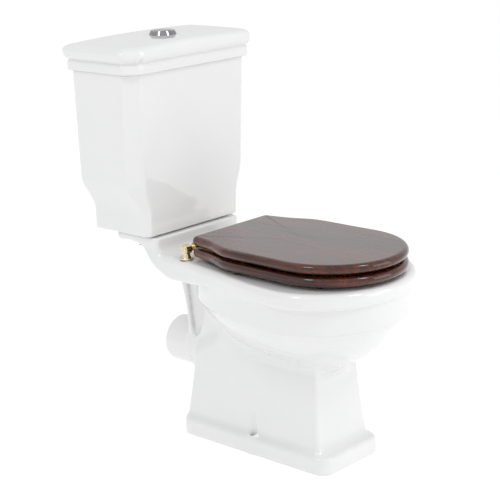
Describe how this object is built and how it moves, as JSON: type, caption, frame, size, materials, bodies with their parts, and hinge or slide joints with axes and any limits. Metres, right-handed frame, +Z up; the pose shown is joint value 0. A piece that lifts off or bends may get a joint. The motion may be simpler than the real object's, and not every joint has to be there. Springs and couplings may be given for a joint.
{
  "type": "close coupled toilet",
  "caption": "Close coupled toilet with a footed ceramic pan, canted cistern with push-button flush, and a hinged timber seat and lid.",
  "frame": {"origin": "on the floor under the middle of the bounding box, on the plane of symmetry", "axes": "+Z up, -Y out of the front of the bowl, +Y to the wall, +X to the user's left when seated"},
  "size_m": [0.388, 0.72, 0.8588],
  "materials": {
    "vitreous_china": "gloss",
    "mahogany": "gloss",
    "hinge_brass": "polished",
    "fixing_brass": "satin",
    "chrome": "polished",
    "spring_steel": "satin",
    "white_plastic": "satin",
    "valve_plastic": "satin",
    "black_rubber": "matte",
    "buffer_rubber": "matte",
    "plated_steel": "satin"
  },
  "bodies": {
    "pan_and_cistern": {"pan_rim": "vitreous_china", "pan_bowl": "vitreous_china", "pan_foot": "vitreous_china", "pan_outlet": "vitreous_china", "cistern_tank": "vitreous_china", "hinge_bar": "hinge_brass", "hinge_pillars": "hinge_brass", "hinge_caps": "hinge_brass", "hinge_gaskets": "black_rubber", "hinge_studs": "hinge_brass", "hinge_stud_washers": "fixing_brass", "hinge_stud_nuts": "hinge_brass", "flush_valve_body": "white_plastic", "flush_valve_back_nut": "white_plastic", "flush_valve_washer": "black_rubber", "fill_valve_body": "white_plastic", "fill_valve_washer": "black_rubber", "fill_valve_back_nut": "white_plastic", "coupling_plate": "plated_steel", "doughnut_gasket": "black_rubber", "cistern_bolts": "fixing_brass", "cistern_bolt_seals": "black_rubber", "cistern_bolt_washers": "fixing_brass", "cistern_wing_nuts": "fixing_brass"},
    "seat_ring": {"seat_ring": "mahogany", "ring_hinge_straps": "hinge_brass", "ring_strap_screws": "hinge_brass", "ring_buffers": "buffer_rubber"},
    "seat_lid": {"seat_lid": "mahogany", "lid_hinge_straps": "hinge_brass", "lid_strap_screws": "hinge_brass", "lid_buffers": "buffer_rubber"},
    "cistern_lid": {"cistern_lid": "vitreous_china", "button_bezel": "chrome", "bezel_nut": "white_plastic", "half_flush_spring": "spring_steel", "full_flush_spring": "spring_steel"},
    "half_flush_button": {"half_flush_button": "chrome", "half_flush_rod": "white_plastic"},
    "full_flush_button": {"full_flush_button": "chrome", "full_flush_rod": "white_plastic"},
    "flush_lift": {"flush_lift_tube": "valve_plastic", "flush_lift_seal": "black_rubber"},
    "float": {"float_cup": "valve_plastic"},
    "float_lever": {"float_lever": "white_plastic"}
  },
  "joints": [
    {"name": "seat_ring_hinge", "type": "hinge", "parent": "pan_and_cistern", "child": "seat_ring", "pos_m": [0, 0.095, 0.427], "axis": [-1, 0, 0], "range_deg": [0, 92]},
    {"name": "seat_lid_hinge", "type": "hinge", "parent": "seat_ring", "child": "seat_lid", "pos_m": [0, 0.095, 0.427], "axis": [1, 0, 0], "range_deg": [-92, 0]},
    {"name": "cistern_lid_lift", "type": "slide", "parent": "pan_and_cistern", "child": "cistern_lid", "axis": [0, 0, 1], "range_m": [0, 0.12]},
    {"name": "half_flush_press", "type": "slide", "parent": "cistern_lid", "child": "half_flush_button", "axis": [0, 0, -1], "range_m": [0, 0.006], "stiffness_N_per_m": 250, "springref_m": -0.004, "deforming": ["half_flush_spring"]},
    {"name": "full_flush_press", "type": "slide", "parent": "cistern_lid", "child": "full_flush_button", "axis": [0, 0, -1], "range_m": [0, 0.006], "stiffness_N_per_m": 250, "springref_m": -0.004, "deforming": ["full_flush_spring"]},
    {"name": "flush_lift_rise", "type": "slide", "parent": "pan_and_cistern", "child": "flush_lift", "axis": [0, 0, 1], "range_m": [0, 0.024]},
    {"name": "float_rise", "type": "slide", "parent": "pan_and_cistern", "child": "float", "axis": [0, 0, 1], "range_m": [0, 0.03]},
    {"name": "float_lever_turn", "type": "hinge", "parent": "pan_and_cistern", "child": "float_lever", "pos_m": [0.105, 0.313, 0.716], "axis": [-1, 0, 0], "range_deg": [0, 28.7]}
  ],
  "couplings": [
    {"joint": "flush_lift_rise", "follows": "full_flush_press", "ratio": 4},
    {"joint": "float_lever_turn", "follows": "float_rise", "rad_per_m": 16.667}
  ]
}
